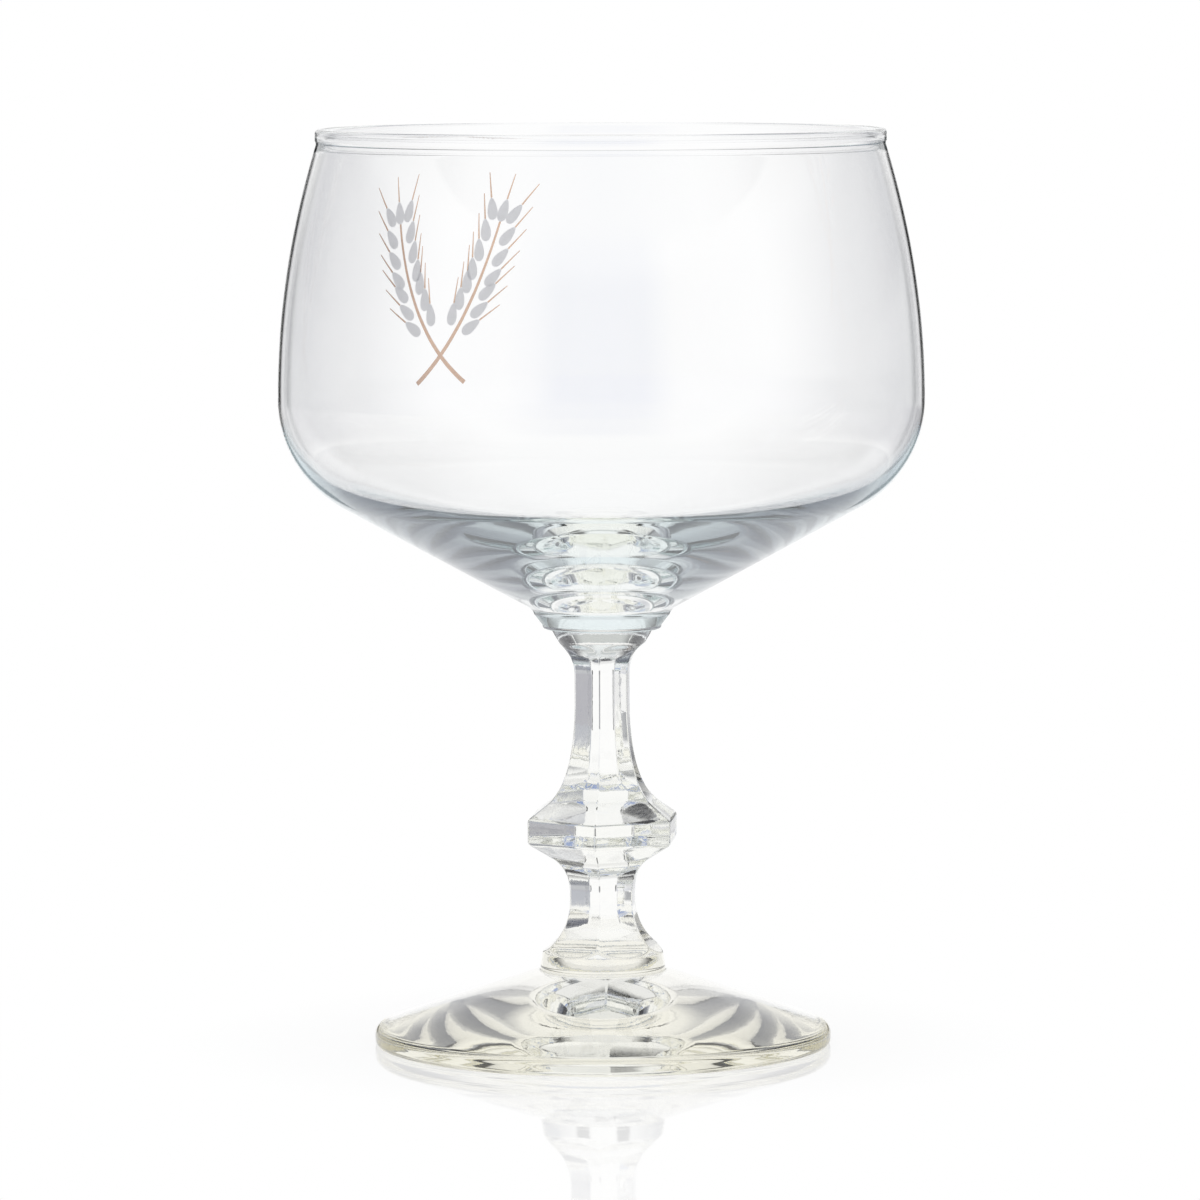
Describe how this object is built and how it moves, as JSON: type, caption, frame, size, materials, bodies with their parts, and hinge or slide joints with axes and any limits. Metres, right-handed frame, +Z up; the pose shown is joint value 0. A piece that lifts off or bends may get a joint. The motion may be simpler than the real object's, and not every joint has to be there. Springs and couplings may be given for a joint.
{
  "type": "beer goblet",
  "caption": "Stemmed beer goblet of clear glass: wide bowl with a solid conical base on a wafer, six-sided stem with a knop, and a round foot.",
  "frame": {"origin": "middle of the foot, on the table it stands on", "axes": "+Z up along the stem, towards the rim; one corner of the six-sided stem faces -Y"},
  "size_m": [0.1006, 0.1006, 0.143],
  "materials": {
    "blown_glass": "clear blown soda-lime glass, fire-polished",
    "pressed_glass": "clear pressed soda-lime glass with a faint green-olive cast in the thick parts",
    "gilding": "fired-on gilt line, satin",
    "enamel": "fired-on pale grey enamel, gloss"
  },
  "bodies": {
    "root": {"bowl": "blown_glass", "wafer": "pressed_glass", "stem": "pressed_glass", "foot": "pressed_glass"}
  },
  "joints": []
}
